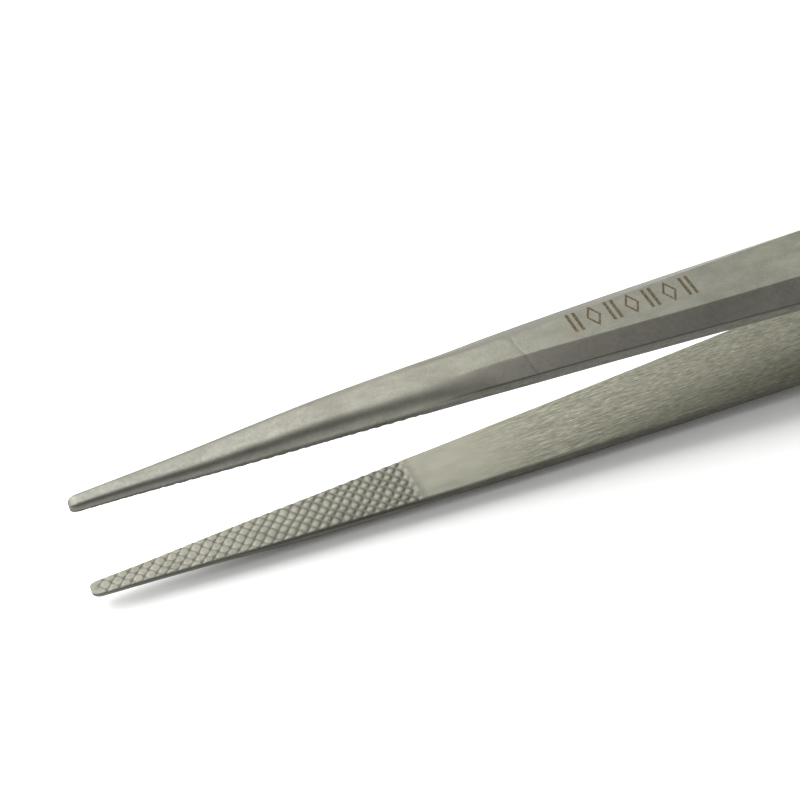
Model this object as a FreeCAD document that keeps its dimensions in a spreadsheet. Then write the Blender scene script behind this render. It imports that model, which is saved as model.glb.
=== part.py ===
import FreeCAD, Part
import math
import os
import Sketcher

# Precision tweezers: two forged half-round arms, spot-welded flat against each other at the tail.
# Each arm is one piece of steel. It bends in its thin spring zone, so it is built as two rigid
# lengths that meet at a round face about the line the spring zone bends around:
# the blade (jaw, finger zone, start of the spring) and the tail (rest of the spring, weld zone).
#
# Row frame: +X from the tips to the tail, +Y across the arms, +Z up. The tweezers lie on the flat
# belly of the lower arm; the origin is under the middle of the overall length, at the belly.
# Arm frame: X from the tip along the arm, Z outward from the plane where the arms meet.

os.makedirs("parts", exist_ok=True)
doc = FreeCAD.newDocument("precision_tweezers")

# ---------------------------------------------------------------- driving dimensions

sheet = doc.addObject("Spreadsheet::Sheet", "Sheet")
SIZES = [
    ("overall_length", 150.0),      # tip to tail
    ("finger_width", 8.9),          # widest part of an arm
    ("jaw_gap", 11.16),             # between the jaw faces, arms relaxed
    ("belly_depth", 1.98),          # jaw face level to the flat outer belly
    ("belly_stock", 0.10),          # forged proud of the belly, then ground off flat
    ("spring_thickness", 1.0),      # spring zone and tail strip
    ("spring_land", 0.55),          # square edge left below the bevel in the spring zone
    ("weld_length", 16.0),          # arms lying on each other at the tail
    ("tail_corner", 2.6),           # rounded tail corners
    ("knurl_length", 29.3),         # diamond knurl, from the tip
    ("knurl_pitch", 0.77),          # square to the grooves
    ("knurl_groove", 0.28),         # groove width
    ("knurl_depth", 0.13),
    ("knuckle_radius", 0.62),       # round end of the tail about the bending line
    ("knuckle_clearance", 0.03),
    ("nugget_radius", 1.2),         # spot weld between the tails
    ("nugget_depth", 0.25),         # into each tail
    ("nugget_spacing", 6.4),
    ("dimple_radius", 1.3),         # electrode mark outside each weld
    ("dimple_depth", 0.08),
]

# Cross-sections along an arm. along: share of the overall length. width: share of the finger
# width. flat: outer flat as a share of the section's width. land: height of the square edge
# above the inner face. inner: inner face as a share of half the jaw gap. thick: inner to outer
# face, where the outer face isn't the belly. shoulder: radius of the edge from land to flat.
# The section "hinge" is at the line that the spring zone bends around.
STATIONS = {
    #             along    width   flat   land  inner  thick  shoulder
    "end":       (0.00000, 0.082, 0.300, 0.10, 1.000, 0.46, 0.36),
    "tip":       (0.00400, 0.158, 0.300, 0.12, 1.000, 0.80, 0.66),
    "point":     (0.02667, 0.197, 0.260, 0.14, 1.000, 0.94, 0.82),
    "half_jaw":  (0.06667, 0.283, 0.220, 0.14, 1.000, 1.15, 1.10),
    "jaw":       (0.10000, 0.356, 0.200, 0.16, 1.000, 1.50, 1.40),
    "shank":     (0.14667, 0.442, 0.220, 0.30, 1.000, 1.90, 1.80),
    "plain":     (0.19533, 0.535, 0.340, 0.66, 1.000, 1.98, 1.90),
    "shoulder":  (0.22000, 0.578, 0.380, 0.88, 0.998, 2.00, 3.20),
    "crease":    (0.25333, 0.632, 0.355, 1.05, 0.982, None, 20.0),
    "belly":     (0.30000, 0.702, 0.437, 1.09, 0.961, None, 60.0),
    "grip":      (0.40000, 0.856, 0.557, 1.00, 0.897, None, 60.0),
    "wide":      (0.49333, 0.980, 0.590, 0.95, 0.820, None, 60.0),
    "heel":      (0.57333, 1.000, 0.593, 0.95, 0.757, None, 60.0),
    "taper":     (0.62667, 0.989, 0.660, 0.92, 0.713, 2.65, 60.0),
    "neck":      (0.66667, 0.972, 0.740, 0.85, 0.660, 1.95, 60.0),
    "waist":     (0.70667, 0.949, 0.820, 0.70, 0.571, 1.36, 60.0),
    "spring":    (0.74667, 0.927, 0.880, None, 0.446, None, 60.0),
    "knuckle":   (0.79333, 0.901, 0.880, None, 0.275, None, 60.0),
    "hinge":     (0.80000, 0.899, 0.880, None, 0.250, None, 60.0),
    "strip":     (0.84000, 0.882, 0.880, None, 0.109, None, 60.0),
    "bend":      (0.86667, 0.871, 0.880, None, 0.031, None, 60.0),
}
KEYS = ("along", "width", "flat", "land", "inner", "thick", "shoulder")
BELLY = ("crease", "belly", "grip", "wide", "heel")
JAW_SECTIONS = ("end", "tip", "point", "half_jaw", "jaw", "shank", "plain")
SHANK_SECTIONS = ("plain", "shoulder", "crease", "belly", "grip", "wide", "heel",
                  "taper", "neck", "waist", "spring", "hinge")
STRIP_SECTIONS = ("knuckle", "strip", "bend", "weld", "tail")


def add_cell(row, alias, value):
    sheet.set(f"A{row}", alias)
    sheet.set(f"B{row}", str(value))
    sheet.setAlias(f"B{row}", alias)


row_number = 1
for alias, value in SIZES:
    add_cell(row_number, alias, value)
    row_number += 1
for station, values in STATIONS.items():
    for key, value in zip(KEYS, values):
        if value is not None:
            add_cell(row_number, f"{station}_{key}", value)
            row_number += 1
doc.recompute()

HALF_GAP = "Sheet.jaw_gap / 2"
HALF_HEIGHT = "(Sheet.jaw_gap / 2 + Sheet.belly_depth)"
HINGE_X = "Sheet.overall_length * Sheet.hinge_along"
HINGE_Z = f"({HALF_GAP} * Sheet.hinge_inner + Sheet.spring_thickness / 2)"


def section_sizes(station):
    """Expressions for one cross-section: position, width, flat, land, inner, outer, shoulder."""
    if station in ("weld", "tail"):
        back = "Sheet.weld_length" if station == "weld" else "0"
        along = f"Sheet.overall_length - {back}"
        return {
            "along": along,
            "width": "Sheet.finger_width * Sheet.bend_width",
            "flat": "Sheet.finger_width * Sheet.bend_width * Sheet.bend_flat",
            "land": "Sheet.spring_land",
            "inner": "0",
            "outer": "Sheet.spring_thickness",
            "shoulder": "Sheet.bend_shoulder",
        }
    inner = f"{HALF_GAP} * Sheet.{station}_inner"
    springy = STATIONS[station][KEYS.index("land")] is None
    if station in BELLY:
        outer = f"{HALF_HEIGHT} + Sheet.belly_stock"
    elif springy:
        outer = f"{inner} + Sheet.spring_thickness"
    else:
        outer = f"{inner} + Sheet.{station}_thick"
    return {
        "along": f"Sheet.overall_length * Sheet.{station}_along",
        "width": f"Sheet.finger_width * Sheet.{station}_width",
        "flat": f"Sheet.finger_width * Sheet.{station}_width * Sheet.{station}_flat",
        "land": "Sheet.spring_land" if springy else f"Sheet.{station}_land",
        "inner": inner,
        "outer": outer,
        "shoulder": f"Sheet.{station}_shoulder",
    }


def number(expression):
    """Value of a sheet expression, for the sketches' starting geometry."""
    value = sheet.evalExpression(expression)
    return float(getattr(value, "Value", value))


def plane(body, role):
    for item in body.Origin.OriginFeatures:
        if item.Role == role:
            return item
    raise ValueError(role)


def new_sketch(body, name, role):
    sketch = body.newObject("Sketcher::SketchObject", name)
    sketch.AttachmentSupport = [(plane(body, role), "")]
    sketch.MapMode = "FlatFace"
    return sketch


def size(sketch, name, constraint, expression):
    index = sketch.addConstraint(constraint)
    sketch.renameConstraint(index, name)
    sketch.setExpression(f"Constraints.{name}", expression)


# ---------------------------------------------------------------- sketches


def section_sketch(body, prefix, station):
    """Cross-section of an arm: flat inner face, square lands, rounded or bevelled shoulders."""
    sizes = section_sizes(station)
    half_width = number(sizes["width"]) / 2
    half_flat = number(sizes["flat"]) / 2
    inner = number(sizes["inner"])
    land = inner + number(sizes["land"])
    outer = number(sizes["outer"])
    radius = number(sizes["shoulder"])
    corners = [
        FreeCAD.Vector(-half_width, inner, 0),
        FreeCAD.Vector(half_width, inner, 0),
        FreeCAD.Vector(half_width, land, 0),
        FreeCAD.Vector(half_flat, outer, 0),
        FreeCAD.Vector(-half_flat, outer, 0),
        FreeCAD.Vector(-half_width, land, 0),
    ]
    sketch = new_sketch(body, f"{prefix}_{station}", "YZ_Plane")
    sketch.setExpression(".AttachmentOffset.Base.z", sizes["along"])
    for index, start in enumerate(corners):
        stop = corners[(index + 1) % len(corners)]
        if index in (2, 4):
            sketch.addGeometry(shoulder_arc(start, stop, radius), False)
        else:
            sketch.addGeometry(Part.LineSegment(start, stop), False)
    for index in range(len(corners)):
        following = (index + 1) % len(corners)
        sketch.addConstraint(Sketcher.Constraint("Coincident", index, 2, following, 1))
    sketch.addConstraint(Sketcher.Constraint("Symmetric", 0, 1, 0, 2, -2))
    sketch.addConstraint(Sketcher.Constraint("Symmetric", 3, 1, 3, 2, -2))
    sketch.addConstraint(Sketcher.Constraint("Vertical", 1))
    sketch.addConstraint(Sketcher.Constraint("Vertical", 5))
    sketch.addConstraint(Sketcher.Constraint("Equal", 1, 5))
    sketch.addConstraint(Sketcher.Constraint("Equal", 2, 4))
    size(sketch, "width", Sketcher.Constraint("DistanceX", 0, 1, 0, 2, 2 * half_width), sizes["width"])
    size(sketch, "flat", Sketcher.Constraint("DistanceX", 3, 2, 3, 1, 2 * half_flat), sizes["flat"])
    size(sketch, "land", Sketcher.Constraint("DistanceY", 1, 1, 1, 2, land - inner), sizes["land"])
    if sizes["inner"] == "0":
        sketch.addConstraint(Sketcher.Constraint("PointOnObject", 0, 1, -1))
    else:
        size(sketch, "inner", Sketcher.Constraint("DistanceY", -1, 1, 0, 1, inner), sizes["inner"])
    size(sketch, "outer", Sketcher.Constraint("DistanceY", -1, 1, 3, 1, outer), sizes["outer"])
    size(sketch, "shoulder", Sketcher.Constraint("Radius", 2, radius), sizes["shoulder"])
    return sketch


def shoulder_arc(start, stop, radius):
    """Arc that turns left from start to stop, bulging away from the middle of the section."""
    chord = stop - start
    middle = (start + stop) * 0.5
    inward = FreeCAD.Vector(-chord.y, chord.x, 0)
    inward.normalize()
    reach = math.sqrt(radius ** 2 - (chord.Length / 2) ** 2)
    centre = middle + inward * reach
    first = math.atan2(start.y - centre.y, start.x - centre.x)
    last = math.atan2(stop.y - centre.y, stop.x - centre.x)
    circle = Part.Circle(centre, FreeCAD.Vector(0, 0, 1), radius)
    return Part.ArcOfCircle(circle, first, last)


def circle_sketch(body, name, role, x_expression, y_expression, radius_expression):
    """Circle at a bound distance from the sketch's origin."""
    sketch = new_sketch(body, name, role)
    centre = FreeCAD.Vector(number(x_expression), number(y_expression), 0)
    radius = number(radius_expression)
    sketch.addGeometry(Part.Circle(centre, FreeCAD.Vector(0, 0, 1), radius), False)
    size(sketch, "along", Sketcher.Constraint("DistanceX", -1, 1, 0, 3, centre.x), x_expression)
    if y_expression == "0":
        sketch.addConstraint(Sketcher.Constraint("PointOnObject", 0, 3, -1))
    else:
        size(sketch, "height", Sketcher.Constraint("DistanceY", -1, 1, 0, 3, centre.y), y_expression)
    size(sketch, "radius", Sketcher.Constraint("Radius", 0, radius), radius_expression)
    return sketch


def groove_sketch(body, name, angle):
    """One long knurl groove across the jaw face, at an angle to the arm."""
    sketch = new_sketch(body, name, "XY_Plane")
    sketch.AttachmentOffset = FreeCAD.Placement(
        FreeCAD.Vector(0, 0, 0), FreeCAD.Rotation(FreeCAD.Vector(0, 0, 1), angle))
    sketch.setExpression(".AttachmentOffset.Base.z", HALF_GAP)
    length_expression = "Sheet.finger_width * Sheet.plain_width * 2"
    half_length = number(length_expression) / 2
    half_groove = number("Sheet.knurl_groove") / 2
    corners = [
        FreeCAD.Vector(-half_length, -half_groove, 0),
        FreeCAD.Vector(half_length, -half_groove, 0),
        FreeCAD.Vector(half_length, half_groove, 0),
        FreeCAD.Vector(-half_length, half_groove, 0),
    ]
    for index, start in enumerate(corners):
        sketch.addGeometry(Part.LineSegment(start, corners[(index + 1) % 4]), False)
    for index in range(4):
        sketch.addConstraint(Sketcher.Constraint("Coincident", index, 2, (index + 1) % 4, 1))
    sketch.addConstraint(Sketcher.Constraint("Horizontal", 0))
    sketch.addConstraint(Sketcher.Constraint("Horizontal", 2))
    sketch.addConstraint(Sketcher.Constraint("Vertical", 1))
    sketch.addConstraint(Sketcher.Constraint("Symmetric", 0, 1, 1, 2, -1, 1))
    sketch.addConstraint(Sketcher.Constraint("Vertical", 3))
    size(sketch, "length", Sketcher.Constraint("DistanceX", 0, 1, 0, 2, 2 * half_length), length_expression)
    groove = Sketcher.Constraint("DistanceY", 1, 1, 1, 2, 2 * half_groove)
    size(sketch, "groove", groove, "Sheet.knurl_groove")
    return sketch


def grinding_sketch(body, name):
    """Rectangle over the whole arm at the belly's level."""
    sketch = new_sketch(body, name, "XY_Plane")
    sketch.setExpression(".AttachmentOffset.Base.z", HALF_HEIGHT)
    length = number("Sheet.overall_length")
    half_width = number("Sheet.finger_width")
    corners = [
        FreeCAD.Vector(0, -half_width, 0),
        FreeCAD.Vector(length, -half_width, 0),
        FreeCAD.Vector(length, half_width, 0),
        FreeCAD.Vector(0, half_width, 0),
    ]
    for index, start in enumerate(corners):
        sketch.addGeometry(Part.LineSegment(start, corners[(index + 1) % 4]), False)
    for index in range(4):
        sketch.addConstraint(Sketcher.Constraint("Coincident", index, 2, (index + 1) % 4, 1))
    sketch.addConstraint(Sketcher.Constraint("Horizontal", 0))
    sketch.addConstraint(Sketcher.Constraint("Vertical", 1))
    sketch.addConstraint(Sketcher.Constraint("PointOnObject", 0, 1, -2))
    sketch.addConstraint(Sketcher.Constraint("Symmetric", 0, 1, 3, 1, -1))
    size(sketch, "length", Sketcher.Constraint("DistanceX", 0, 1, 0, 2, length), "Sheet.overall_length")
    width = Sketcher.Constraint("DistanceY", 1, 1, 1, 2, 2 * half_width)
    size(sketch, "width", width, "2 * Sheet.finger_width")
    return sketch


def knuckle_sketch(body, name):
    """Outline in front of the tail's round end: what is cut away from the strip."""
    sketch = new_sketch(body, name, "XZ_Plane")
    x = number(HINGE_X)
    z = number(HINGE_Z)
    radius = number("Sheet.knuckle_radius")
    reach = 4 * radius
    up = FreeCAD.Vector(x, z + reach, 0)
    up_front = FreeCAD.Vector(x - reach, z + reach, 0)
    down_front = FreeCAD.Vector(x - reach, z - reach, 0)
    down = FreeCAD.Vector(x, z - reach, 0)
    arc_top = FreeCAD.Vector(x, z + radius, 0)
    arc_bottom = FreeCAD.Vector(x, z - radius, 0)
    circle = Part.Circle(FreeCAD.Vector(x, z, 0), FreeCAD.Vector(0, 0, 1), radius)
    sketch.addGeometry(Part.ArcOfCircle(circle, math.pi / 2, 3 * math.pi / 2), False)
    corners = [arc_bottom, down, down_front, up_front, up, arc_top]
    for start, stop in zip(corners, corners[1:]):
        sketch.addGeometry(Part.LineSegment(start, stop), False)
    for index in range(6):
        sketch.addConstraint(Sketcher.Constraint("Coincident", index, 2, (index + 1) % 6, 1))
    for index in (1, 3, 5):
        sketch.addConstraint(Sketcher.Constraint("Vertical", index))
    for index in (2, 4):
        sketch.addConstraint(Sketcher.Constraint("Horizontal", index))
    sketch.addConstraint(Sketcher.Constraint("PointOnObject", 0, 3, 1))
    sketch.addConstraint(Sketcher.Constraint("PointOnObject", 0, 3, 5))
    size(sketch, "along", Sketcher.Constraint("DistanceX", -1, 1, 0, 3, x), HINGE_X)
    size(sketch, "height", Sketcher.Constraint("DistanceY", -1, 1, 0, 3, z), HINGE_Z)
    size(sketch, "radius", Sketcher.Constraint("Radius", 0, radius), "Sheet.knuckle_radius")
    size(sketch, "below", Sketcher.Constraint("DistanceY", 1, 2, 0, 3, reach), "4 * Sheet.knuckle_radius")
    size(sketch, "above", Sketcher.Constraint("DistanceY", 0, 3, 4, 2, reach), "4 * Sheet.knuckle_radius")
    size(sketch, "front", Sketcher.Constraint("DistanceX", 3, 1, 1, 1, reach), "4 * Sheet.knuckle_radius")
    return sketch


# ---------------------------------------------------------------- features


def loft(body, prefix, name, stations):
    """Straight-sided loft through the named cross-sections."""
    sketches = [section_sketch(body, prefix, station) for station in stations]
    feature = body.newObject("PartDesign::AdditiveLoft", f"{prefix}_{name}")
    feature.Profile = sketches[0]
    feature.Sections = sketches[1:]
    feature.Ruled = True
    feature.Refine = True
    body.Tip = feature
    doc.recompute()
    return feature


def cut(body, name, sketch, depth=None, outward=True):
    """Pocket to a bound depth, or right through both ways when no depth is given."""
    before = body.Shape.Volume
    feature = body.newObject("PartDesign::Pocket", name)
    feature.Profile = sketch
    if depth is None:
        feature.Type = "ThroughAll"
        feature.Midplane = True
    else:
        feature.Type = "Length"
        feature.setExpression("Length", depth)
        feature.Reversed = outward
    body.Tip = feature
    doc.recompute()
    if not body.Shape.Volume < before - 1e-6:
        raise RuntimeError(f"{name} removed nothing")
    return feature


def new_body(name, lower):
    """Body in an arm's own frame; the lower arm is the upper one turned over about its length."""
    body = doc.addObject("PartDesign::Body", name)
    body.Label = name
    turn = 180 if lower else 0
    body.Placement = FreeCAD.Placement(
        FreeCAD.Vector(0, 0, 0), FreeCAD.Rotation(FreeCAD.Vector(1, 0, 0), turn))
    body.setExpression(".Placement.Base.x", "-Sheet.overall_length / 2")
    body.setExpression(".Placement.Base.z", HALF_HEIGHT)
    return body


def make_blade(name, lower):
    """Knurled half-round jaw, bevelled finger zone and start of the spring zone."""
    body = new_body(name, lower)
    loft(body, f"{name}_jaw", "loft", JAW_SECTIONS)
    # The grooves run past the jaw's rear section; the shank is added after them and ends the knurl.
    for side, angle in (("left", 45), ("right", -45)):
        before = body.Shape.Volume
        sketch = groove_sketch(body, f"{name}_groove_{side}", angle)
        groove = cut(body, f"{name}_cut_{side}", sketch, "Sheet.knurl_depth")
        pattern = body.newObject("PartDesign::LinearPattern", f"{name}_knurl_{side}")
        pattern.Originals = [groove]
        pattern.Direction = (plane(body, "X_Axis"), [""])
        pattern.Mode = "Spacing"
        pattern.setExpression("Offset", "Sheet.knurl_pitch * sqrt(2)")
        reach = "Sheet.knurl_length + Sheet.finger_width * Sheet.plain_width / 2"
        pattern.setExpression("Occurrences", f"floor(({reach}) / (Sheet.knurl_pitch * sqrt(2))) + 1")
        body.Tip = pattern
        doc.recompute()
        if not body.Shape.Volume < before - 1e-3:
            raise RuntimeError(f"{name} knurl {side} removed nothing")
    loft(body, f"{name}_shank", "loft", SHANK_SECTIONS)
    cut(body, f"{name}_belly_grind", grinding_sketch(body, f"{name}_belly"), "2 * Sheet.belly_stock")
    radius = "Sheet.knuckle_radius + Sheet.knuckle_clearance"
    hollow = circle_sketch(body, f"{name}_hollow", "XZ_Plane", HINGE_X, HINGE_Z, radius)
    cut(body, f"{name}_hollow_cut", hollow)
    return body


def make_tail(name, lower):
    """Rear of the spring strip and the weld zone, with a round end about the bending line."""
    body = new_body(name, lower)
    loft(body, name, "loft", STRIP_SECTIONS)
    cut(body, f"{name}_round_cut", knuckle_sketch(body, f"{name}_round"))
    for spot, sign in (("front", "-"), ("rear", "+")):
        along = f"Sheet.overall_length - Sheet.weld_length / 2 {sign} Sheet.nugget_spacing / 2"
        seat = circle_sketch(body, f"{name}_{spot}_seat", "XY_Plane", along, "0", "Sheet.nugget_radius")
        cut(body, f"{name}_{spot}_seat_cut", seat, "Sheet.nugget_depth")
        mark = circle_sketch(body, f"{name}_{spot}_mark", "XY_Plane", along, "0", "Sheet.dimple_radius")
        mark.setExpression(".AttachmentOffset.Base.z", "Sheet.spring_thickness")
        cut(body, f"{name}_{spot}_mark_cut", mark, "Sheet.dimple_depth", outward=False)
    base = body.Tip
    length = number("Sheet.overall_length")
    corners = []
    for index, edge in enumerate(base.Shape.Edges, 1):
        box = edge.BoundBox
        if box.XMin > length - 0.01 and box.YLength < 0.01:
            corners.append(f"Edge{index}")
    fillet = body.newObject("PartDesign::Fillet", f"{name}_corners")
    fillet.Base = (base, corners)
    fillet.setExpression("Radius", "Sheet.tail_corner")
    body.Tip = fillet
    doc.recompute()
    return body


def make_nugget(name, sign):
    """Spot weld: the lens of metal that joins the two tails."""
    nugget = doc.addObject("Part::Cylinder", name)
    nugget.Label = name
    nugget.setExpression("Radius", "Sheet.nugget_radius")
    nugget.setExpression("Height", "2 * Sheet.nugget_depth")
    along = f"Sheet.overall_length / 2 - Sheet.weld_length / 2 {sign} Sheet.nugget_spacing / 2"
    nugget.setExpression(".Placement.Base.x", along)
    nugget.setExpression(".Placement.Base.z", f"{HALF_HEIGHT} - Sheet.nugget_depth")
    return nugget


# ---------------------------------------------------------------- the tweezers

nodes = [
    make_blade("upper_blade", lower=False),
    make_blade("lower_blade", lower=True),
    make_tail("upper_tail", lower=False),
    make_tail("lower_tail", lower=True),
    make_nugget("weld_front", "-"),
    make_nugget("weld_rear", "+"),
]
doc.recompute()

for item in doc.Objects:
    if "Invalid" in item.State or "Error" in item.State:
        raise RuntimeError(f"{item.Name} failed: {item.State}")
for node in nodes:
    if node.Shape.isNull() or not node.Shape.isValid() or len(node.Shape.Solids) != 1:
        raise RuntimeError(f"{node.Label} is not one valid solid")
for node in nodes:
    node.Shape.exportStep(f"parts/{node.Label}.step")
    box = node.Shape.BoundBox
    print(node.Label, "volume", round(node.Shape.Volume, 3),
          "x", round(box.XMin, 3), round(box.XMax, 3), "z", round(box.ZMin, 3), round(box.ZMax, 3))
print("bending line", number(HINGE_X) - number("Sheet.overall_length") / 2,
      number(HALF_HEIGHT), number(HINGE_Z))
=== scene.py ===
import math

import bpy
import numpy as np
from mathutils import Matrix, Vector


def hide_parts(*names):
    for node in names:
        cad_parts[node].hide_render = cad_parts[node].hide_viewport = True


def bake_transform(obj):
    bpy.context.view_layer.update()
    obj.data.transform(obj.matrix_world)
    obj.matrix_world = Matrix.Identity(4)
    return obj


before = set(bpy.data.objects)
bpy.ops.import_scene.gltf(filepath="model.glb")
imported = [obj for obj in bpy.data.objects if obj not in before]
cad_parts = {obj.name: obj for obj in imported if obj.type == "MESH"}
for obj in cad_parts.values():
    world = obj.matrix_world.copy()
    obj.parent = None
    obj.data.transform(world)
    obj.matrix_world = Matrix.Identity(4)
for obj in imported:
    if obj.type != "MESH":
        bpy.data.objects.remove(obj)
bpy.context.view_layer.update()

# ------------------------------------------------------------------ sizes, in millimetres
# An arm's own frame: X from its tip to its tail, Y across, Z outward from the plane between the arms.
LENGTH = 150.0
HALF_GAP = 5.58
BELLY_DEPTH = 1.98
HALF_HEIGHT = HALF_GAP + BELLY_DEPTH
WELD_LENGTH = 16.0
TAIL_CORNER = 2.6
KNURL_LENGTH = 29.3
KNURL_PITCH = 0.77
KNURL_DEPTH = 0.085
NUGGET_SPACING = 6.4
DIMPLE_RADIUS = 1.3
DIMPLE_FLOOR_RADIUS = 0.9
DIMPLE_DEPTH = 0.08
TIP_ROUND = 0.75
TIP_SHARE = 0.42
# Half-round section in front: superellipse exponents, and where it gives way to bevels.
ROUND_TOP = 4.6
ROUND_SIDE = 1.8
ROUND_UNTIL = 24.0
BEVELLED_FROM = 37.0
# Faint line across the outside, at x = LINE_X - LINE_SLANT * y + LINE_BOW * y * y.
LINE_X = 38.7
LINE_SLANT = 0.10
LINE_BOW = 0.06
LINE_WIDTH = 0.22
LINE_DEPTH = 0.010
MM = 0.001

# Cross-sections: distance from the tip, width, outer flat, land height, inner face, thickness
# (None where the outer face is the belly), shoulder radius, softness of the creases.
SECTIONS = [
    (0.0, 1.38, 0.40, 0.12, 5.58, 0.76, 0.66, 0.20),
    (4.0, 1.75, 0.46, 0.14, 5.58, 0.94, 0.84, 0.20),
    (10.0, 2.52, 0.56, 0.14, 5.58, 1.16, 1.12, 0.22),
    (15.0, 3.17, 0.64, 0.16, 5.58, 1.50, 1.42, 0.24),
    (22.0, 3.93, 0.90, 0.28, 5.58, 1.92, 1.80, 0.26),
    (29.3, 4.76, 1.70, 0.66, 5.58, 1.98, 1.95, 0.24),
    (33.0, 5.14, 2.05, 0.88, 5.57, None, 3.2, 0.18),
    (38.0, 5.62, 2.30, 1.05, 5.48, None, 14.0, 0.10),
    (45.0, 6.25, 3.02, 1.09, 5.36, None, 60.0, 0.08),
    (60.0, 7.62, 4.50, 1.00, 5.00, None, 60.0, 0.08),
    (74.0, 8.72, 5.35, 0.95, 4.57, None, 60.0, 0.08),
    (86.0, 8.90, 5.50, 0.95, 4.22, None, 60.0, 0.08),
    (94.0, 8.80, 5.85, 0.92, 3.98, 2.65, 60.0, 0.09),
    (100.0, 8.65, 6.40, 0.85, 3.68, 1.95, 60.0, 0.10),
    (106.0, 8.45, 6.93, 0.70, 3.19, 1.36, 60.0, 0.10),
    (112.0, 8.25, 7.26, 0.55, 2.49, 1.00, 60.0, 0.10),
    (120.0, 8.00, 7.04, 0.55, 1.40, 1.00, 60.0, 0.10),
    (126.0, 7.85, 6.91, 0.55, 0.61, 1.00, 60.0, 0.10),
    (130.0, 7.75, 6.82, 0.55, 0.17, 1.00, 60.0, 0.10),
    (134.0, 7.75, 6.82, 0.55, 0.0, 1.00, 60.0, 0.10),
    (150.0, 7.75, 6.82, 0.55, 0.0, 1.00, 60.0, 0.10),
]


def monotone(xs, ys, at):
    """Smooth curve through the points that never overshoots them (Fritsch-Carlson)."""
    xs = np.asarray(xs, float)
    ys = np.asarray(ys, float)
    step = np.diff(xs)
    slope = np.diff(ys) / step
    tangent = np.zeros_like(ys)
    tangent[0] = slope[0]
    tangent[-1] = slope[-1]
    for k in range(1, len(xs) - 1):
        if slope[k - 1] * slope[k] > 0:
            first = 2 * step[k] + step[k - 1]
            second = step[k] + 2 * step[k - 1]
            tangent[k] = (first + second) / (first / slope[k - 1] + second / slope[k])
    index = np.clip(np.searchsorted(xs, at, side="right") - 1, 0, len(xs) - 2)
    width = step[index]
    t = (at - xs[index]) / width
    a = ys[index]
    b = ys[index + 1]
    return (a * (1 + 2 * t) * (1 - t) ** 2 + width * tangent[index] * t * (1 - t) ** 2
            + b * t * t * (3 - 2 * t) + width * tangent[index + 1] * t * t * (t - 1))


def smoothstep(low, high, value):
    t = np.clip((value - low) / (high - low), 0.0, 1.0)
    return t * t * (3 - 2 * t)


# ------------------------------------------------------------------ one arm as one closed mesh

INNER_COLUMNS = 36
FLAT_COLUMNS = 14
SHOULDER_POINTS = 14
CORNER_POINTS = 5
LAND_POINTS = 4
RING_STEP_KNURL = 0.07

# Parts of a cross-section, from the middle of the inner face round to the middle of the flat.
INNER, LOWER_CORNER, LAND, LAND_CORNER, SHOULDER, FLAT_CORNER, FLAT = range(7)


def ring_stations():
    """Distances from the tip at which the arm's rings lie, close together where it has detail."""
    pieces = [
        TIP_ROUND * (1 - np.cos(np.linspace(0, math.pi / 2, 9))),
        np.arange(TIP_ROUND + RING_STEP_KNURL, KNURL_LENGTH + 0.6, RING_STEP_KNURL),
        np.arange(KNURL_LENGTH + 0.7, BEVELLED_FROM, 0.3),
        np.arange(BEVELLED_FROM, 40.0, 0.08),
        np.arange(40.3, LENGTH - WELD_LENGTH, 0.5),
        np.arange(LENGTH - WELD_LENGTH, LENGTH - TAIL_CORNER, 0.2),
        LENGTH - TAIL_CORNER * (1 - np.sin(np.linspace(0, math.pi / 2, 22))),
    ]
    return np.unique(np.round(np.concatenate(pieces), 5))


def rounded(before, corner, after, reach, count):
    """Points of a soft corner: a quadratic curve that starts and ends reach away from it."""
    back = before - corner
    back = corner + back * (reach / max(np.hypot(*back), 1e-9))
    ahead = after - corner
    ahead = corner + ahead * (reach / max(np.hypot(*ahead), 1e-9))
    t = np.linspace(0, 1, count)[:, None]
    return back * (1 - t) ** 2 + corner * 2 * t * (1 - t) + ahead * t * t


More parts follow.
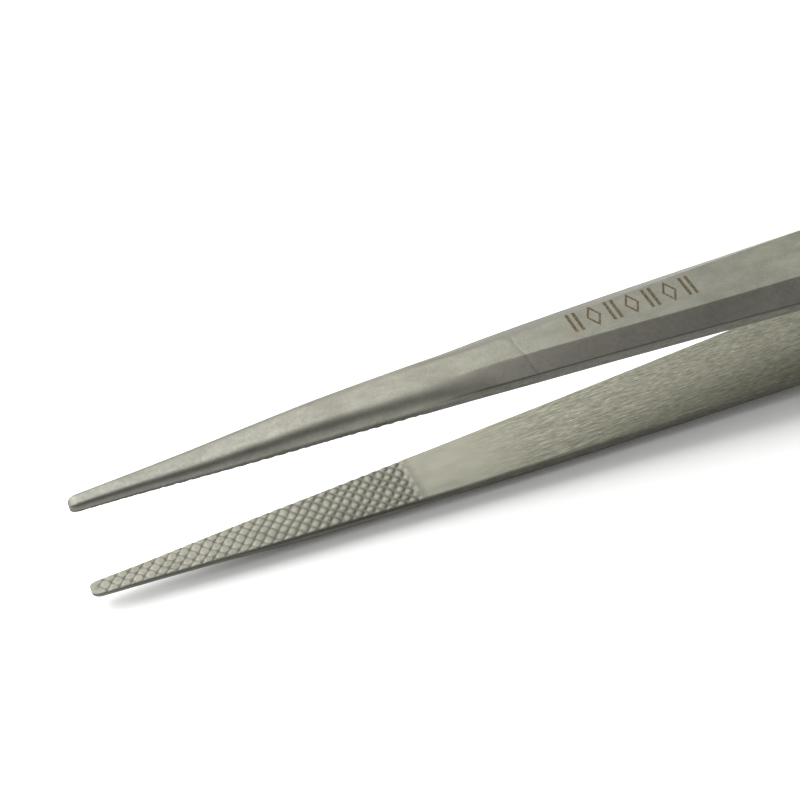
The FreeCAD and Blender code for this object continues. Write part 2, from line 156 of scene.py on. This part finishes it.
def half_ring(width, flat, land, thick, shoulder, soft, crisp):
    """Right half of a cross-section, from the middle of the inner face round to the flat's middle.

    crisp runs from 0, a plain half round, to 1, square lands, bevels and a flat.
    """
    half = width / 2
    edge = min(0.09, half * 0.12)
    base = np.array([half, 0.0])
    top_of_land = np.array([half, land])
    flat_edge = np.array([flat / 2, thick])
    chord = flat_edge - top_of_land
    length = np.hypot(*chord)
    radius = max(shoulder, length * 0.52)
    reach = math.sqrt(radius ** 2 - (length / 2) ** 2)
    inward = np.array([-chord[1], chord[0]]) / length
    centre = (top_of_land + flat_edge) / 2 + inward * reach
    start_angle = math.atan2(*(top_of_land - centre)[::-1])
    end_angle = math.atan2(*(flat_edge - centre)[::-1])
    angles = np.linspace(start_angle, end_angle, 60)
    arc = centre + radius * np.stack([np.cos(angles), np.sin(angles)], 1)
    run = np.concatenate([[0], np.cumsum(np.hypot(*np.diff(arc, axis=0).T))])
    soft = min(soft, land * 0.45, run[-1] * 0.3, flat * 0.3)
    inside = np.concatenate([[soft, soft + 0.04 * run[-1]],
                             np.linspace(soft + 0.12 * run[-1], run[-1] * 0.88 - soft, SHOULDER_POINTS),
                             [run[-1] * 0.96 - soft, run[-1] - soft]])
    arc_points = np.stack([np.interp(inside, run, arc[:, 0]), np.interp(inside, run, arc[:, 1])], 1)
    inner = np.stack([np.linspace(0, half - edge, INNER_COLUMNS), np.zeros(INNER_COLUMNS)], 1)
    lower_corner = rounded(np.array([0.0, 0.0]), base, top_of_land, edge, CORNER_POINTS)[1:]
    land_run = np.stack([np.full(LAND_POINTS, half),
                         np.linspace(edge + 0.02, land - soft - 0.02, LAND_POINTS)], 1)
    land_corner = rounded(base, top_of_land, arc_points[0], soft, CORNER_POINTS)[:-1]
    flat_corner = rounded(arc_points[-1], flat_edge, np.array([0.0, thick]), soft, CORNER_POINTS)[1:]
    flat_run = np.stack([np.linspace(flat_corner[-1][0] - 0.03, 0, FLAT_COLUMNS),
                         np.full(FLAT_COLUMNS, thick)], 1)
    parts = [inner, lower_corner, land_run, land_corner, arc_points, flat_corner, flat_run]
    labels = np.concatenate([np.full(len(p), k) for k, p in enumerate(parts)])
    points = np.concatenate(parts)
    # in front, the outside is drawn towards a half round, point by point at the same share of its run
    outside_start = len(inner) + len(lower_corner)
    outside = points[outside_start:]
    travelled = np.concatenate([[0], np.cumsum(np.hypot(*np.diff(outside, axis=0).T))])
    angle = np.linspace(0, math.pi / 2, 90)
    low = outside[0][1]
    round_x = half * np.abs(np.cos(angle)) ** (2 / ROUND_TOP)
    round_z = low + (thick - low) * np.abs(np.sin(angle)) ** (2 / ROUND_SIDE)
    along = np.concatenate([[0], np.cumsum(np.hypot(np.diff(round_x), np.diff(round_z)))])
    share = travelled / travelled[-1] * along[-1]
    smooth = np.stack([np.interp(share, along, round_x), np.interp(share, along, round_z)], 1)
    points[outside_start:] = outside * crisp + smooth * (1 - crisp)
    return points, labels


def groove_share(x, y):
    """How deep the crossed grooves cut at a place on the jaw face, as a share of their depth."""
    pitch = KNURL_PITCH
    shift = 0.3
    a = (x + y + shift) / math.sqrt(2)
    b = (x - y + shift) / math.sqrt(2)
    wobble = 0.045 * np.sin(x * 1.7 + y * 2.3) + 0.04 * np.sin(x * 0.53 - y * 3.1)
    near_a = np.abs((a / pitch + wobble + 0.5) % 1.0 - 0.5) * pitch
    near_b = np.abs((b / pitch - wobble + 0.5) % 1.0 - 0.5) * pitch
    from_nub = ((pitch / 2 - near_a) ** 2.4 + (pitch / 2 - near_b) ** 2.4) ** (1 / 2.4)
    sharp = smoothstep(0.10, 0.41, from_nub)
    flattened = smoothstep(0.27, 0.50, from_nub)
    worn = smoothstep(26.0, 9.0, x)
    return sharp * (1 - worn) + flattened * worn


def arm_rings():
    stations = ring_stations()
    table = list(zip(*SECTIONS))
    xs = table[0]
    width = monotone(xs, table[1], stations)
    flat = monotone(xs, table[2], stations)
    land = monotone(xs, table[3], stations)
    inner = monotone(xs, table[4], stations)
    outer_at = [row[4] + row[5] if row[5] is not None else HALF_HEIGHT for row in SECTIONS]
    outer = np.minimum(monotone(xs, outer_at, stations), HALF_HEIGHT)
    shoulder = np.exp(monotone(xs, np.log(table[6]), stations))
    soft = monotone(xs, table[7], stations)
    crisp = smoothstep(ROUND_UNTIL, BEVELLED_FROM, stations)
    # rounded blunt tip
    close = np.sqrt(np.clip(1 - (1 - np.minimum(stations / TIP_ROUND, 1)) ** 2, 0, 1))
    close = TIP_SHARE + (1 - TIP_SHARE) * close
    # rounded tail corners
    over = np.clip(stations - (LENGTH - TAIL_CORNER), 0, TAIL_CORNER)
    pull = TAIL_CORNER - np.sqrt(np.maximum(TAIL_CORNER ** 2 - over ** 2, 0))
    rings = []
    labels = None
    for k, x in enumerate(stations):
        squeeze = close[k]
        w = width[k] * squeeze - 2 * pull[k]
        f = flat[k] * squeeze - 2 * pull[k]
        t = (outer[k] - inner[k]) * squeeze
        points, labels = half_ring(w, f, land[k] * squeeze, t, shoulder[k], soft[k], crisp[k])
        rings.append(points + np.array([0.0, inner[k]]))
    return stations, np.array(rings), labels, crisp, outer - inner


def displace(x, y, z, label, side_inner):
    """Knurl on the inner face, faint line across the outside and dimples over the welds."""
    on_face = label <= LOWER_CORNER
    fade = smoothstep(KNURL_LENGTH + 0.10, KNURL_LENGTH - 0.45, x) * smoothstep(0.15, 1.0, x)
    wear = 0.85 + 0.15 * smoothstep(6.0, 20.0, x)
    grooved = wear * fade * groove_share(x, y)
    depth = KNURL_DEPTH * grooved
    lift = np.where(on_face, depth, 0.0)
    low = np.clip((z - side_inner) / 0.5, 0, 1)
    lift = np.where(label == LAND, depth * (1 - low) ** 2, lift)
    from_line = x - LINE_X + LINE_SLANT * y - LINE_BOW * y * y
    lift = np.where(label >= SHOULDER, -LINE_DEPTH * np.exp(-(from_line / LINE_WIDTH) ** 2), lift)
    for sign in (-1, 1):
        centre = LENGTH - WELD_LENGTH / 2 + sign * NUGGET_SPACING / 2
        radius = np.hypot(x - centre, y)
        dimple = DIMPLE_DEPTH * smoothstep(DIMPLE_RADIUS, DIMPLE_FLOOR_RADIUS, radius)
        lift = np.where(label >= FLAT_CORNER, lift - dimple, lift)
    return lift, np.where(on_face, grooved, 0.0)


def make_arm(name, turned, materials):
    stations, rings, labels, crisp, thick = arm_rings()
    # full ring: right half, then the left half back again without its two middle points
    left = rings[:, -2:0:-1, :] * np.array([-1.0, 1.0])
    full = np.concatenate([rings, left], axis=1)
    full_labels = np.concatenate([labels, labels[-2:0:-1]])
    x = np.repeat(stations[:, None], full.shape[1], axis=1)
    y = full[:, :, 0]
    z = full[:, :, 1]
    label = np.repeat(full_labels[None, :], len(stations), axis=0)
    inner = rings[:, 0, 1][:, None]
    lift, grooved = displace(x, y, z, label, inner)
    z = z + lift
    size = full.shape[1]
    direction = -1.0 if turned else 1.0
    points = np.stack([
        (x - LENGTH / 2) * MM,
        y * direction * MM,
        (HALF_HEIGHT + z * direction) * MM,
    ], axis=2).reshape(-1, 3)
    rows = np.arange(len(stations) - 1)[:, None] * size
    columns = np.arange(size)[None, :]
    ahead = (columns + 1) % size
    quads = np.stack([rows + columns, rows + size + columns, rows + size + ahead, rows + ahead], axis=2)
    quads = quads.reshape(-1, 4)
    face_label = np.maximum(full_labels, np.roll(full_labels, -1))
    zone = (face_label >= LAND).astype(int)
    faces = quads.tolist()
    slots = np.tile(zone, len(stations) - 1).tolist()
    # blunt ends, closed with a centre point each
    front = len(points)
    back = front + 1
    tip = points[:size].mean(axis=0)
    tail = points[-size:].mean(axis=0)
    points = np.concatenate([points, [tip, tail]])
    last = (len(stations) - 1) * size
    for k in range(size):
        following = (k + 1) % size
        faces.append((front, k, following))
        slots.append(1)
        faces.append((back, last + following, last + k))
        slots.append(1)
    mesh = bpy.data.meshes.new(name)
    mesh.from_pydata(points.tolist(), [], faces)
    mesh.update()
    rest = mesh.attributes.new("rest_mm", "FLOAT_VECTOR", "POINT")
    local = np.stack([x.reshape(-1), y.reshape(-1), z.reshape(-1)], axis=1)
    local = np.concatenate([local, [[0, 0, HALF_GAP + 0.4], [LENGTH, 0, 0.5]]])
    rest.data.foreach_set("vector", local.astype(np.float32).reshape(-1))
    # this attribute holds how far each place is a land, a bevel and the crease between them; the outside
    # material paints shade on the lands and the crease with it
    crease_shade_share = (full_labels == LAND_CORNER) * 1.0
    crease_shade_share = np.maximum(crease_shade_share, 0.6 * np.maximum(np.roll(crease_shade_share, 1), np.roll(crease_shade_share, -1)))
    land_share = np.isin(full_labels, (LOWER_CORNER, LAND)) * 1.0
    bevel_share = (full_labels == SHOULDER) * 1.0
    shares = np.stack([share[None, :] * crisp[:, None] for share in (land_share, bevel_share, crease_shade_share)],
                      axis=2).reshape(-1, 3)
    shares = np.concatenate([shares, np.zeros((2, 3))])
    facet_shares = mesh.attributes.new("facet_shares", "FLOAT_VECTOR", "POINT")
    facet_shares.data.foreach_set("vector", shares.astype(np.float32).reshape(-1))
    # "rise" is the height above the inner face as a share of the thickness
    rise = ((z - inner) / thick[:, None]).reshape(-1)
    groove = mesh.attributes.new("groove", "FLOAT", "POINT")
    groove.data.foreach_set("value", np.concatenate([grooved.reshape(-1), [0, 0]]).astype(np.float32))
    height = mesh.attributes.new("rise", "FLOAT", "POINT")
    height.data.foreach_set("value", np.concatenate([rise, [0.5, 0.5]]).astype(np.float32))
    for material in materials:
        mesh.materials.append(material)
    mesh.polygons.foreach_set("material_index", slots)
    mesh.polygons.foreach_set("use_smooth", [True] * len(faces))
    mesh.validate()
    mesh.update()
    arm = bpy.data.objects.new(name, mesh)
    bpy.context.scene.collection.objects.link(arm)
    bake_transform(arm)
    return arm


# ------------------------------------------------------------------ materials


class Nodes:
    """Short names for building a node tree."""

    def __init__(self, name):
        self.material = bpy.data.materials.new(name)
        self.material.use_nodes = True
        self.tree = self.material.node_tree
        self.tree.nodes.clear()
        output = self.tree.nodes.new("ShaderNodeOutputMaterial")
        self.shader = self.tree.nodes.new("ShaderNodeBsdfPrincipled")
        self.link(self.shader.outputs[0], output.inputs["Surface"])
        self.place = self.attribute("rest_mm", "Vector")

    def link(self, source, target):
        self.tree.links.new(source, target)

    def attribute(self, name, output):
        node = self.tree.nodes.new("ShaderNodeAttribute")
        node.attribute_name = name
        return node.outputs[output]

    def feed(self, value, socket):
        if isinstance(value, (int, float)):
            socket.default_value = value
        else:
            self.link(value, socket)

    def math(self, operation, a, b=0.0):
        node = self.tree.nodes.new("ShaderNodeMath")
        node.operation = operation
        for value, socket in zip((a, b), node.inputs):
            self.feed(value, socket)
        return node.outputs[0]

    def scaled(self, scale, shift=(0, 0, 0)):
        node = self.tree.nodes.new("ShaderNodeMapping")
        node.inputs["Location"].default_value = shift
        node.inputs["Scale"].default_value = scale
        self.link(self.place, node.inputs["Vector"])
        return node.outputs[0]

    def noise(self, scale, detail=3.0, rough=0.55, shift=(0, 0, 0)):
        node = self.tree.nodes.new("ShaderNodeTexNoise")
        node.inputs["Scale"].default_value = 1.0
        node.inputs["Detail"].default_value = detail
        node.inputs["Roughness"].default_value = rough
        self.link(self.scaled(scale, shift), node.inputs["Vector"])
        return node.outputs["Fac"]

    def ramp(self, value, low, high, start=0.0, stop=1.0):
        node = self.tree.nodes.new("ShaderNodeMapRange")
        node.interpolation_type = "SMOOTHSTEP"
        self.feed(value, node.inputs["Value"])
        for name, number in (("From Min", low), ("From Max", high), ("To Min", start), ("To Max", stop)):
            node.inputs[name].default_value = number
        return node.outputs[0]

    def mix(self, factor, a, b):
        node = self.tree.nodes.new("ShaderNodeMix")
        node.data_type = "RGBA"
        self.feed(factor, node.inputs["Factor"])
        for value, socket in ((a, node.inputs["A"]), (b, node.inputs["B"])):
            if isinstance(value, tuple):
                socket.default_value = (*value, 1.0)
            else:
                self.link(value, socket)
        return node.outputs["Result"]

    def bump(self, height, distance, strength):
        node = self.tree.nodes.new("ShaderNodeBump")
        node.inputs["Strength"].default_value = strength
        node.inputs["Distance"].default_value = distance
        self.link(height, node.inputs["Height"])
        return node.outputs[0]

    def split(self, vector):
        node = self.tree.nodes.new("ShaderNodeSeparateXYZ")
        self.link(vector, node.inputs[0])
        return node.outputs

    def steel(self, colour, roughness, normal):
        self.link(colour, self.shader.inputs["Base Color"])
        self.link(roughness, self.shader.inputs["Roughness"])
        self.shader.inputs["Metallic"].default_value = 1.0
        self.link(normal, self.shader.inputs["Normal"])
        return self.material


MARK_START = 43.6
MARK_MIDDLE = 0.50
MARK_PITCH = 1.85
MARK_COUNT = 7
BAR_OFFSET = 0.32
BAR_HALF_WIDTH = 0.155
BAR_HALF_HEIGHT = 1.12
DIAMOND_HALF_WIDTH = 0.70
DIAMOND_HALF_HEIGHT = 1.24
DIAMOND_OUTLINE = 0.84
DIAMOND_LINE = 0.17


def etched_mark(nodes):
    """A row of double bars and diamonds, etched brown: a plain pattern that says nothing."""
    x, y, _ = nodes.split(nodes.place)
    along = nodes.math("DIVIDE", nodes.math("SUBTRACT", x, MARK_START), MARK_PITCH)
    index = nodes.math("FLOOR", along)
    inside = nodes.math("MULTIPLY", nodes.math("SUBTRACT", nodes.math("FRACT", along), 0.5), MARK_PITCH)
    inside = nodes.math("ABSOLUTE", inside)
    height = nodes.math("ABSOLUTE", nodes.math("SUBTRACT", y, MARK_MIDDLE))
    from_bar = nodes.math("ABSOLUTE", nodes.math("SUBTRACT", inside, BAR_OFFSET))
    bar = nodes.math("LESS_THAN", from_bar, BAR_HALF_WIDTH)
    bar = nodes.math("MULTIPLY", bar, nodes.math("LESS_THAN", height, BAR_HALF_HEIGHT))
    ring = nodes.math("ADD", nodes.math("DIVIDE", inside, DIAMOND_HALF_WIDTH),
                      nodes.math("DIVIDE", height, DIAMOND_HALF_HEIGHT))
    from_ring = nodes.math("ABSOLUTE", nodes.math("SUBTRACT", ring, DIAMOND_OUTLINE))
    diamond = nodes.math("LESS_THAN", from_ring, DIAMOND_LINE)
    odd = nodes.math("MODULO", index, 2.0)
    shape = nodes.math("ADD", nodes.math("MULTIPLY", diamond, odd),
                       nodes.math("MULTIPLY", bar, nodes.math("SUBTRACT", 1.0, odd)))
    begun = nodes.math("GREATER_THAN", along, 0.0)
    ended = nodes.math("LESS_THAN", along, MARK_COUNT)
    shape = nodes.math("MULTIPLY", shape, nodes.math("MULTIPLY", begun, ended))
    uneven = nodes.ramp(nodes.noise((7, 7, 7), 2.0), 0.35, 0.6, 0.45, 0.95)
    return nodes.math("MULTIPLY", shape, uneven)


# Base colours, which differ by place on the arm. They were tuned by measured brightness until the main
# view matched under this scene's light, so they hold some shading and are no measure of the steel.
OUTER_LIGHT = (0.295, 0.293, 0.246)
OUTER_DARK = (0.213, 0.211, 0.173)
FRONT_SHADE_LIGHT = (0.196, 0.193, 0.169)
FRONT_SHADE_DARK = (0.150, 0.147, 0.128)
UNDER_SHADE_LIGHT = (0.092, 0.088, 0.076)
UNDER_SHADE_DARK = (0.066, 0.063, 0.054)
BEVEL_LIGHT = (0.318, 0.305, 0.265)
BEVEL_DARK = (0.255, 0.245, 0.213)
BEVEL_PAINTED_SHADE = (0.205, 0.201, 0.168)
LAND_LIGHT = (0.150, 0.147, 0.126)
LAND_DARK = (0.092, 0.090, 0.077)
CREASE_SHADE_AND_LINE = (0.075, 0.073, 0.063)
ETCHED = (0.080, 0.054, 0.022)
SMOOTH_LIGHT = (0.262, 0.260, 0.213)
SMOOTH_DARK = (0.205, 0.203, 0.166)
STREAK_LIGHT = (0.338, 0.335, 0.268)
STREAK_DARK = (0.138, 0.136, 0.104)
SCRATCH = (0.62, 0.62, 0.56)
EDGE_PAINTED_SHADE = (0.10, 0.098, 0.080)
NUB_LIGHT = (0.240, 0.237, 0.198)
NUB_DARK = (0.172, 0.170, 0.142)
GROOVE_SHADE = (0.070, 0.067, 0.057)
GRAIN_HEIGHT = 0.000012


def outer_material(name, marked=False):
    """Outside: fine grain and faint clouding, in colours set apart by place on the arm."""
    nodes = Nodes(name)
    land, bevel, crease_shade = nodes.split(nodes.attribute("facet_shares", "Vector"))
    cloud = nodes.noise((0.35, 0.6, 0.6), 3.0, 0.6)
    grain = nodes.noise((6, 6, 6), 3.0, 0.65)
    along = nodes.noise((0.7, 9.0, 9.0), 3.0, 0.6, (3, 1, 2))
    blend = nodes.math("ADD", nodes.math("MULTIPLY", cloud, 0.6), nodes.math("MULTIPLY", grain, 0.4))
    blend = nodes.ramp(blend, 0.32, 0.68)
    x, y, _ = nodes.split(nodes.place)
    colour = nodes.mix(blend, OUTER_DARK, OUTER_LIGHT)
    # painted shade: the outside is painted darker towards the tip
    colour = nodes.mix(nodes.ramp(x, 38.0, 6.0), colour, nodes.mix(blend, FRONT_SHADE_DARK, FRONT_SHADE_LIGHT))
    # painted shade: the outside is painted darker near the inner face, low on each section
    low_side_shade = nodes.ramp(nodes.attribute("rise", "Fac"), 0.40, 0.18)
    colour = nodes.mix(low_side_shade, colour, nodes.mix(blend, UNDER_SHADE_DARK, UNDER_SHADE_LIGHT))
    # painted shade: the bevel on the +Y side is painted darker
    far_bevel_shade = nodes.ramp(y, 0.5, 1.5)
    bevel_colour = nodes.mix(far_bevel_shade, nodes.mix(blend, BEVEL_DARK, BEVEL_LIGHT), BEVEL_PAINTED_SHADE)
    colour = nodes.mix(bevel, colour, bevel_colour)
    # painted shade: the lands get dark colours in place of the shade they would catch
    colour = nodes.mix(land, colour, nodes.mix(nodes.ramp(along, 0.34, 0.66), LAND_DARK, LAND_LIGHT))
    # painted shade: a dark line along the crease between land and bevel
    colour = nodes.mix(nodes.math("MULTIPLY", crease_shade, 0.85), colour, CREASE_SHADE_AND_LINE)
    # the faint line across the outside, darker in places
    bowed = nodes.math("MULTIPLY", nodes.math("MULTIPLY", y, y), -LINE_BOW)
    slanted = nodes.math("ADD", nodes.math("MULTIPLY", y, LINE_SLANT), bowed)
    from_line = nodes.math("ADD", nodes.math("SUBTRACT", x, LINE_X), slanted)
    line = nodes.ramp(nodes.math("ABSOLUTE", from_line), 0.20, 0.04, 0.0, 0.45)
    colour = nodes.mix(nodes.math("MULTIPLY", line, nodes.ramp(cloud, 0.35, 0.6)), colour, CREASE_SHADE_AND_LINE)
    if marked:
        # a duller patch round the mark
        stain = nodes.math("MULTIPLY", nodes.ramp(x, 36.0, 44.0), nodes.ramp(x, 68.0, 56.0, 0.0, 0.26))
        colour = nodes.mix(stain, colour, LAND_LIGHT)
        colour = nodes.mix(etched_mark(nodes), colour, ETCHED)
    rough = nodes.ramp(nodes.noise((3, 3, 3), 2.0, 0.5, (5, 0, 0)), 0.3, 0.7, 0.46, 0.55)
    return nodes.steel(colour, rough, nodes.bump(grain, GRAIN_HEIGHT, 0.6))


def inner_material(name):
    """Inner face: knurl, a smooth length behind it, then lengthwise brushing."""
    nodes = Nodes(name)
    x, y, _ = nodes.split(nodes.place)
    brushed = nodes.ramp(x, KNURL_LENGTH + 3.0, KNURL_LENGTH + 14.0)
    fine = nodes.noise((0.40, 9.0, 1.0), 4.0, 0.7)
    short = nodes.noise((1.2, 8.0, 1.0), 3.0, 0.65, (4, 7, 0))
    cloud = nodes.noise((0.25, 0.7, 0.7), 3.0, 0.6)
    grain = nodes.noise((11, 11, 11), 2.0, 0.6)
    streaks = nodes.math("ADD", nodes.math("MULTIPLY", fine, 0.5), nodes.math("MULTIPLY", short, 0.5))
    streaks = nodes.ramp(streaks, 0.38, 0.64)
    calm = nodes.math("ADD", nodes.math("MULTIPLY", cloud, 0.6), nodes.math("MULTIPLY", grain, 0.4))
    calm = nodes.ramp(calm, 0.3, 0.7)
    smooth_colour = nodes.mix(calm, SMOOTH_DARK, SMOOTH_LIGHT)
    streak_colour = nodes.mix(streaks, STREAK_DARK, STREAK_LIGHT)
    colour = nodes.mix(nodes.math("MULTIPLY", brushed, 0.8), smooth_colour, streak_colour)
    bright = nodes.ramp(short, 0.66, 0.74)
    colour = nodes.mix(nodes.math("MULTIPLY", nodes.math("MULTIPLY", bright, brushed), 0.7), colour, SCRATCH)
    # painted shade: darker towards the +Y edge and towards the rear
    edge = nodes.math("MULTIPLY", nodes.ramp(y, -1.5, 4.6), nodes.ramp(x, 38.0, 62.0, 0.12, 0.42))
    colour = nodes.mix(edge, colour, EDGE_PAINTED_SHADE)
    knurled = nodes.ramp(x, KNURL_LENGTH + 0.9, KNURL_LENGTH + 0.1)
    nub_colour = nodes.mix(calm, NUB_DARK, NUB_LIGHT)
    # painted shade: the grooves of the knurl are painted darker by their depth
    nub_colour = nodes.mix(nodes.math("MULTIPLY", nodes.attribute("groove", "Fac"), 0.42), nub_colour, GROOVE_SHADE)
    colour = nodes.mix(knurled, colour, nub_colour)
    rough = nodes.math("ADD", nodes.math("MULTIPLY", streaks, 0.08), 0.42)
    rough = nodes.math("ADD", rough, nodes.math("MULTIPLY", knurled, 0.12))
    height = nodes.math("ADD", nodes.math("MULTIPLY", nodes.math("MULTIPLY", fine, brushed), 0.8),
                        nodes.math("MULTIPLY", grain, 0.35))
    return nodes.steel(colour, rough, nodes.bump(height, GRAIN_HEIGHT, 0.7))


inner_steel = inner_material("inner_steel")
outer_steel = outer_material("outer_steel")
marked_steel = outer_material("marked_steel", marked=True)

upper_arm = make_arm("upper_arm_steel", False, [inner_steel, marked_steel])
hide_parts("upper_blade", "upper_tail")
lower_arm = make_arm("lower_arm_steel", True, [inner_steel, outer_steel])
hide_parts("lower_blade", "lower_tail")

for node_name in ("weld_front", "weld_rear"):
    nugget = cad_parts[node_name]
    nugget.data.materials.clear()
    nugget.data.materials.append(outer_steel)

# ------------------------------------------------------------------ floor, light and camera

floor_material = bpy.data.materials.new("pale_floor")
floor_material.use_nodes = True
floor_shader = floor_material.node_tree.nodes["Principled BSDF"]
floor_shader.inputs["Base Color"].default_value = (0.95, 0.95, 0.95, 1.0)
floor_shader.inputs["Roughness"].default_value = 0.9
floor_shader.inputs["Specular IOR Level"].default_value = 0.1
bpy.ops.mesh.primitive_plane_add(size=6.0, location=(0, 0, -0.00002))
floor = bpy.context.object
floor.name = "floor"
floor.data.materials.append(floor_material)


SOFTBOX_PLACE = Vector((-0.33, 0.36, 0.52))
SOFTBOX_SIDE = 0.85
SOFTBOX_WATTS = 9.5
light = bpy.data.lights.new("key_softbox", "AREA")
light.shape = "RECTANGLE"
light.size = SOFTBOX_SIDE
light.size_y = SOFTBOX_SIDE
light.energy = SOFTBOX_WATTS
lamp = bpy.data.objects.new("key_softbox", light)
lamp.location = SOFTBOX_PLACE
lamp.rotation_euler = (Vector((0, 0, 0)) - SOFTBOX_PLACE).to_track_quat("-Z", "Y").to_euler()
bpy.context.scene.collection.objects.link(lamp)

# Studio surround: a broad bright wall behind and to the left, dim behind the camera. The camera
# itself sees a plain grey backdrop instead.
DIM_SIDE = 0.28
BRIGHT_SIDE = 1.08
world = bpy.data.worlds.new("studio")
bpy.context.scene.world = world
world.use_nodes = True
tree = world.node_tree
direction = tree.nodes.new("ShaderNodeTexCoord").outputs["Generated"]
facing = tree.nodes.new("ShaderNodeVectorMath")
facing.operation = "DOT_PRODUCT"
tree.links.new(direction, facing.inputs[0])
facing.inputs[1].default_value = Vector((-0.30, 0.62, 0.72)).normalized()
strength = tree.nodes.new("ShaderNodeMapRange")
strength.interpolation_type = "SMOOTHSTEP"
strength.inputs["From Min"].default_value = 0.05
strength.inputs["From Max"].default_value = 0.98
strength.inputs["To Min"].default_value = DIM_SIDE
strength.inputs["To Max"].default_value = BRIGHT_SIDE
tree.links.new(facing.outputs["Value"], strength.inputs["Value"])
background = tree.nodes["Background"]
background.inputs["Color"].default_value = (1.0, 1.0, 0.985, 1.0)
tree.links.new(strength.outputs[0], background.inputs["Strength"])
backdrop = tree.nodes.new("ShaderNodeBackground")
backdrop.inputs["Color"].default_value = (0.64, 0.64, 0.64, 1.0)
seen = tree.nodes.new("ShaderNodeLightPath").outputs["Is Camera Ray"]
either = tree.nodes.new("ShaderNodeMixShader")
tree.links.new(seen, either.inputs[0])
tree.links.new(background.outputs[0], either.inputs[1])
tree.links.new(backdrop.outputs[0], either.inputs[2])
tree.links.new(either.outputs[0], tree.nodes["World Output"].inputs["Surface"])
bpy.context.scene.view_settings.view_transform = "Standard"

# The camera looks down by elevation and is turned from +Y towards +X. The focal length is a share of
# the sensor's width. The lower arm's tip lies TIP_DISTANCE ahead, and TIP_RIGHT and TIP_DOWN are how
# far right and down it is as shares of that distance.
elevation = math.radians(48.47)
turn = math.radians(23.65)
SENSOR_WIDTH = 36.0
FOCAL_SHARE = 1.91
TIP_DISTANCE = 127.33 * MM
TIP_RIGHT = -0.2024
TIP_DOWN = 0.1241
forward = Vector((math.sin(turn) * math.cos(elevation),
                  math.cos(turn) * math.cos(elevation),
                  -math.sin(elevation)))
right = Vector((math.cos(turn), -math.sin(turn), 0))
up = right.cross(forward)
tip = Vector((-LENGTH / 2 * MM, 0, (HALF_HEIGHT - HALF_GAP) * MM))
eye = tip - TIP_DISTANCE * (forward + right * TIP_RIGHT - up * TIP_DOWN)
camera_data = bpy.data.cameras.new("camera")
camera_data.sensor_width = SENSOR_WIDTH
camera_data.lens = SENSOR_WIDTH * FOCAL_SHARE
camera_data.clip_start = 0.005
camera_data.clip_end = 20.0
camera = bpy.data.objects.new("camera", camera_data)
camera.matrix_world = Matrix((
    (right.x, up.x, -forward.x, eye.x),
    (right.y, up.y, -forward.y, eye.y),
    (right.z, up.z, -forward.z, eye.z),
    (0, 0, 0, 1),
))
bpy.context.scene.collection.objects.link(camera)
bpy.context.scene.camera = camera

bpy.context.view_layer.update()
